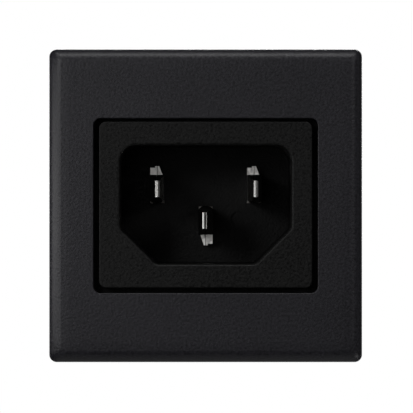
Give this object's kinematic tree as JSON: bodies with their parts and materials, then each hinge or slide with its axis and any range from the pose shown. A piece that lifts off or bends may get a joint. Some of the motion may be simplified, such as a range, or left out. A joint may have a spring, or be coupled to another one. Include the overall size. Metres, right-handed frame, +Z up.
{
  "type": "iec power inlet plate",
  "caption": "Square snap-in module plate with a sunk male appliance inlet: a keyed chamber round flat folded pins, with clip arms and push-on tabs behind.",
  "frame": {"origin": "centre of the plane in which the plate's rear rim rests on its mounting panel", "axes": "+Y goes into the panel, so the front looks along -Y; +Z is up and +X is to the right of a viewer in front"},
  "size_m": [0.0444, 0.0293, 0.0444],
  "materials": {
    "plate_plastic": "graphite black moulding with a fine spark-eroded grain",
    "inlet_plastic": "neutral black moulding, fine matte grain",
    "contact_metal": "nickel-plated brass strip, stamped and folded"
  },
  "bodies": {
    "root": {"front_plate": "plate_plastic", "inlet_housing": "inlet_plastic", "line_contact": "contact_metal", "neutral_contact": "contact_metal", "earth_contact": "contact_metal"}
  },
  "joints": []
}
